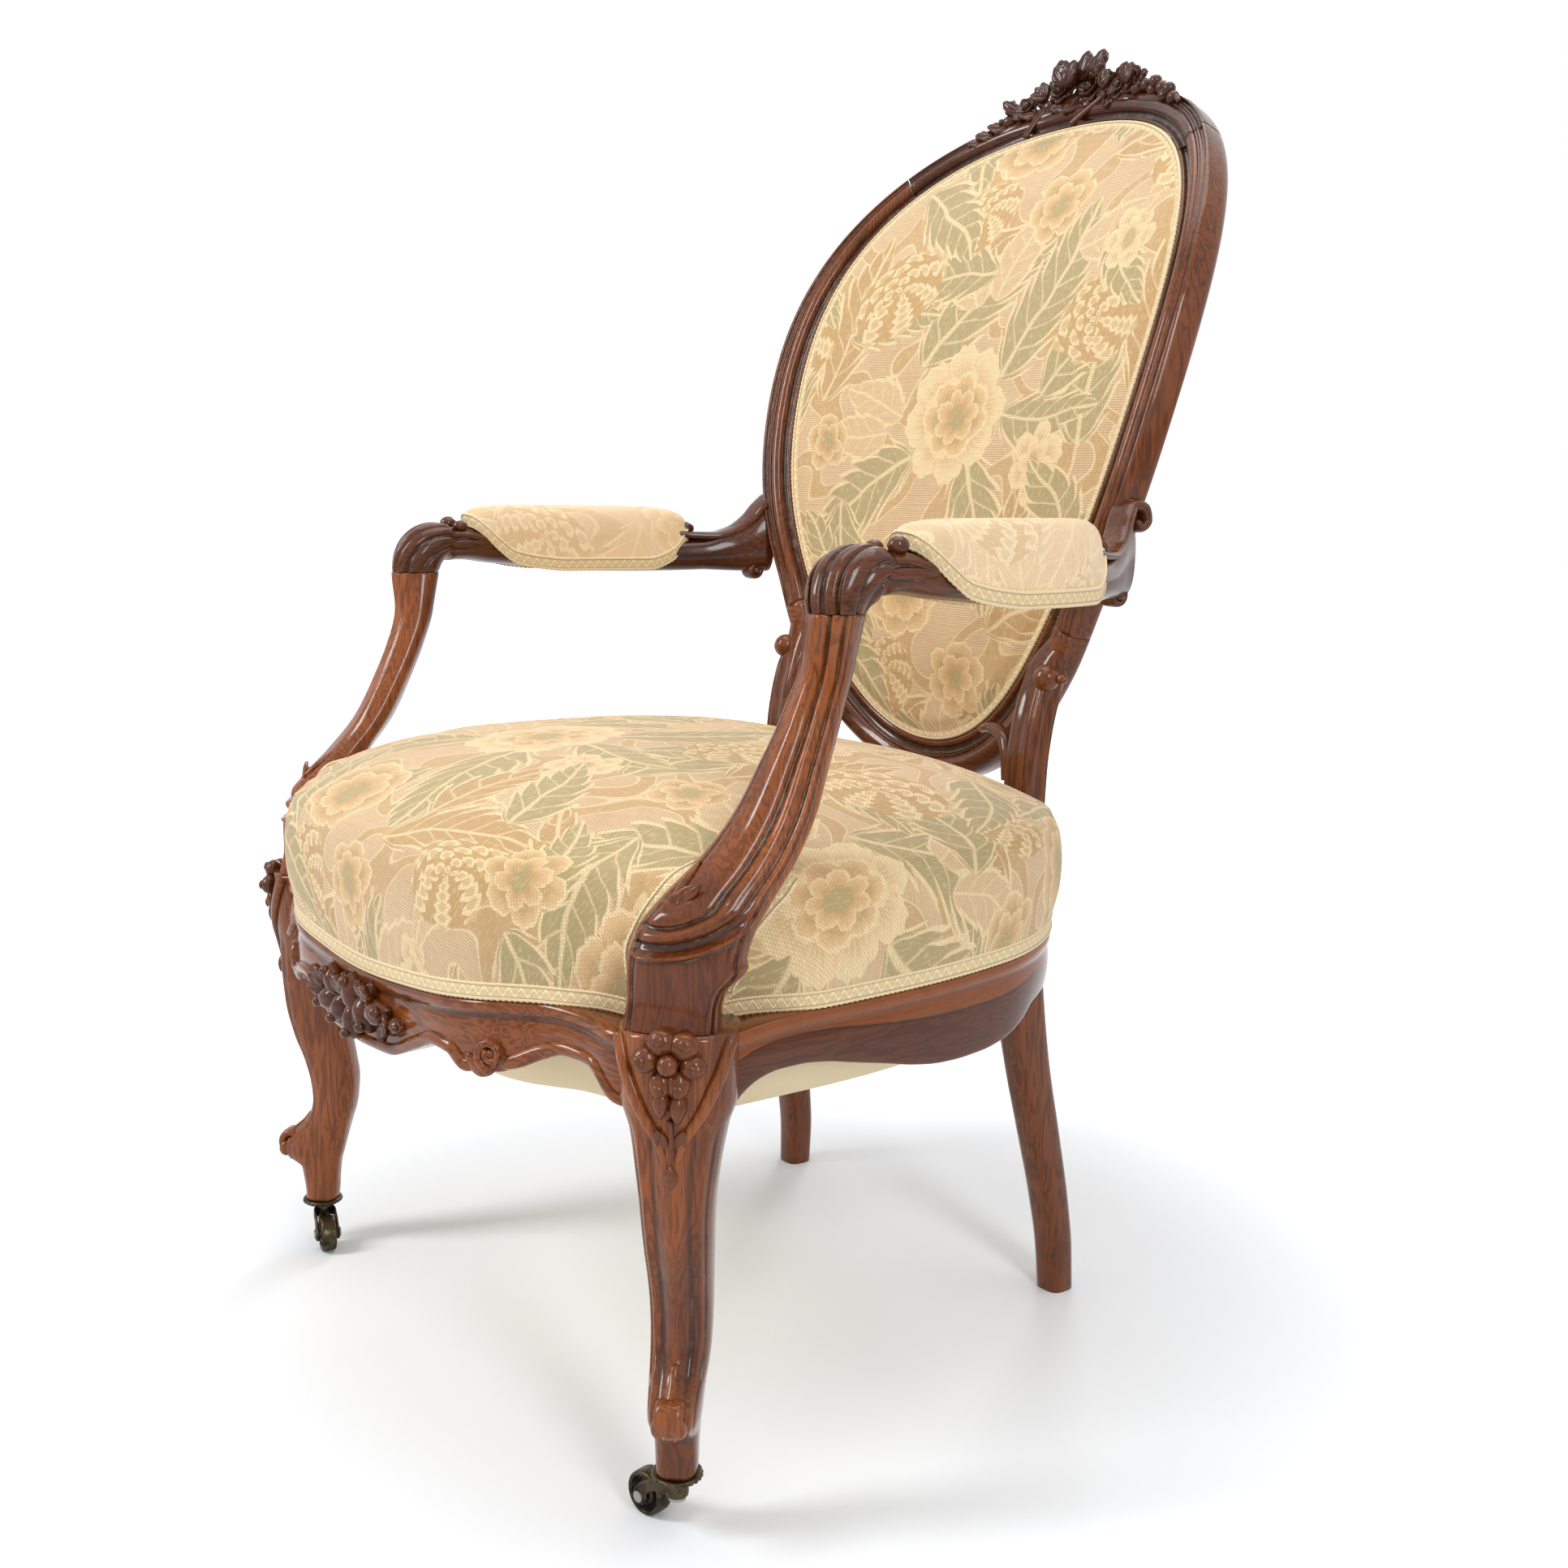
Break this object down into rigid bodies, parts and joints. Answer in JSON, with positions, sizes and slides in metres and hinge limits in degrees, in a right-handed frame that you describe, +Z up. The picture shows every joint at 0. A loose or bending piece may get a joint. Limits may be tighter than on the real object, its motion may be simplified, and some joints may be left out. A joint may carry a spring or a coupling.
{
  "type": "upholstered open armchair",
  "caption": "Open armchair with a carved wood frame, oval padded back, sprung upholstered seat, padded arms, cabriole front legs on swivel casters and sabre back legs.",
  "frame": {"origin": "centre of the overall footprint, on the floor", "axes": "+Z up, the chair faces -Y, the sitter's left hand is at +X"},
  "size_m": [0.6636, 0.7738, 1.0815],
  "materials": {
    "frame_wood": "french polished, glossy with wear",
    "carved_wood": "french polished, darker, dust in the recesses",
    "cover_fabric": "woven floral jacquard",
    "gimp_braid": "woven gimp braid with scalloped edges",
    "hessian": "coarse open weave",
    "webbing": "woven jute strap",
    "bottom_cloth": "thin felted cloth",
    "block_wood": "unpolished",
    "caster_brass": "aged and darkened",
    "iron": "dull"
  },
  "bodies": {
    "chair": {"front_leg_left": "frame_wood", "front_leg_right": "frame_wood", "back_stile_left": "frame_wood", "back_stile_right": "frame_wood", "front_seat_rail": "frame_wood", "side_seat_rail_left": "frame_wood", "side_seat_rail_right": "frame_wood", "back_seat_rail": "frame_wood", "back_bottom_rail": "frame_wood", "arm_support_left": "frame_wood", "arm_support_right": "frame_wood", "crest_rail": "carved_wood", "arm_rail_left": "carved_wood", "arm_rail_right": "carved_wood", "arm_pad_left": "cover_fabric", "arm_pad_right": "cover_fabric", "seat_cushion": "cover_fabric", "back_pad": "cover_fabric", "back_outside_cover": "cover_fabric", "arm_braid_left": "gimp_braid", "arm_braid_right": "gimp_braid", "seat_braid_front": "gimp_braid", "seat_braid_side_left": "gimp_braid", "seat_braid_side_right": "gimp_braid", "seat_braid_back": "gimp_braid", "back_braid": "gimp_braid", "front_corner_block_left": "block_wood", "front_corner_block_right": "block_wood", "back_corner_block_left": "block_wood", "back_corner_block_right": "block_wood", "front_block_screw_left": "iron", "front_block_screw_right": "iron", "seat_web_front": "webbing", "seat_web_middle": "webbing", "seat_web_rear": "webbing", "seat_web_left": "webbing", "seat_web_centre": "webbing", "seat_web_right": "webbing", "seat_spring_1": "iron", "seat_spring_2": "iron", "seat_spring_3": "iron", "seat_spring_4": "iron", "seat_spring_5": "iron", "seat_hessian": "hessian", "back_hessian": "hessian", "seat_bottom_cloth": "bottom_cloth", "caster_plate_left": "caster_brass", "caster_plate_right": "caster_brass", "caster_pintle_left": "iron", "caster_pintle_right": "iron"},
    "caster_swivel_left": {"caster_fork_left": "caster_brass", "caster_axle_left": "iron"},
    "caster_wheel_left": {"caster_wheel_left": "caster_brass"},
    "caster_swivel_right": {"caster_fork_right": "caster_brass", "caster_axle_right": "iron"},
    "caster_wheel_right": {"caster_wheel_right": "caster_brass"}
  },
  "joints": [
    {"name": "caster_swivel_left", "type": "hinge", "parent": "chair", "child": "caster_swivel_left", "pos_m": [0.285, -0.29238, 0.0155], "axis": [0, 0, 1], "continuous": true},
    {"name": "caster_roll_left", "type": "hinge", "parent": "caster_swivel_left", "child": "caster_wheel_left", "pos_m": [0.25939, -0.2969, 0.0155], "axis": [0.1736, -0.9848, 0], "continuous": true},
    {"name": "caster_swivel_right", "type": "hinge", "parent": "chair", "child": "caster_swivel_right", "pos_m": [-0.285, -0.29238, 0.0155], "axis": [0, 0, 1], "continuous": true},
    {"name": "caster_roll_right", "type": "hinge", "parent": "caster_swivel_right", "child": "caster_wheel_right", "pos_m": [-0.26001, -0.29955, 0.0155], "axis": [0.2756, 0.9613, 0], "continuous": true}
  ]
}
